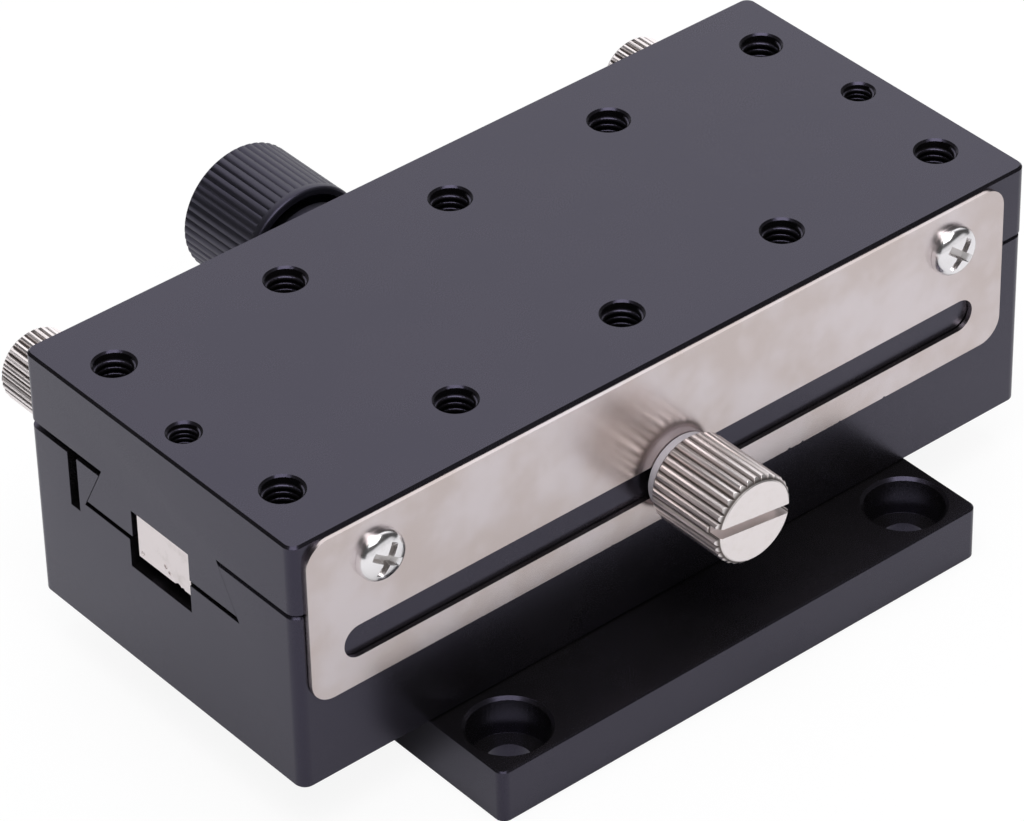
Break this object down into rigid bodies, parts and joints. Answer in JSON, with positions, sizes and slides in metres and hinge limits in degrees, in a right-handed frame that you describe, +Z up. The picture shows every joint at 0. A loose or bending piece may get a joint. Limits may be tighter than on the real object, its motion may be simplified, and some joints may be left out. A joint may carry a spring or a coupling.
{
  "type": "manual linear stage",
  "caption": "Manual linear stage: dovetail table driven by a rack and pinion knob, with a clamp screw on a slotted side plate and a square mounting plate.",
  "frame": {"origin": "centre of the mounting plate's underside, which is the centre of its four mounting holes", "axes": "+X along the table's travel, +Y towards the drive knob, +Z up, out of the table's top face"},
  "size_m": [0.09, 0.0781, 0.034],
  "materials": {
    "anodised_block": "black anodised, fine satin",
    "anodised_knob": "black anodised, straight knurl",
    "satin_stainless": "satin stainless sheet",
    "nickel_knurl": "nickel plated, straight knurl",
    "bright_screw": "bright plated",
    "pale_nylon": "moulded nylon",
    "rack_steel": "milled steel",
    "plain_steel": "ground steel",
    "black_screw": "black oxide",
    "pinion_brass": "hobbed brass",
    "bush_bronze": "sintered bronze"
  },
  "bodies": {
    "base": {"guide_body": "anodised_block", "mounting_plate": "anodised_block", "base_screws": "black_screw", "front_bush": "bush_bronze", "rear_bush": "bush_bronze", "bearing_collar": "anodised_knob", "collar_bush": "bush_bronze", "collar_set_screw": "black_screw", "gib_set_screws": "black_screw"},
    "table": {"sliding_table": "anodised_block", "gear_rack": "rack_steel", "rack_screws": "black_screw", "slotted_plate": "satin_stainless", "plate_screws": "bright_screw"},
    "drive": {"drive_knob": "anodised_knob", "knob_set_screw": "black_screw", "thrust_washer": "plain_steel", "pinion": "pinion_brass", "pinion_pin": "plain_steel", "pinion_shaft": "plain_steel"},
    "clamp": {"clamp_screw": "nickel_knurl", "clamp_washer": "pale_nylon"},
    "left_lock": {"lock_screw_left": "nickel_knurl"},
    "right_lock": {"lock_screw_right": "nickel_knurl"}
  },
  "joints": [
    {"name": "table_slide", "type": "slide", "parent": "base", "child": "table", "axis": [1, 0, 0], "range_m": [-0.035, 0.035]},
    {"name": "knob_turn", "type": "hinge", "parent": "base", "child": "drive", "pos_m": [0, 0, 0.01527], "axis": [0, 1, 0], "range_deg": [-460, 460]},
    {"name": "clamp_turn", "type": "hinge", "parent": "base", "child": "clamp", "pos_m": [0, 0, 0.0204], "axis": [0, 1, 0], "range_deg": [-360, 30]},
    {"name": "left_lock_turn", "type": "hinge", "parent": "base", "child": "left_lock", "pos_m": [-0.0364, 0, 0.0219], "axis": [0, 1, 0], "range_deg": [-30, 360]},
    {"name": "right_lock_turn", "type": "hinge", "parent": "base", "child": "right_lock", "pos_m": [0.0393, 0, 0.0219], "axis": [0, 1, 0], "range_deg": [-30, 360]}
  ],
  "couplings": [
    {"joint": "knob_turn", "follows": "table_slide", "rad_per_m": 222.22}
  ]
}
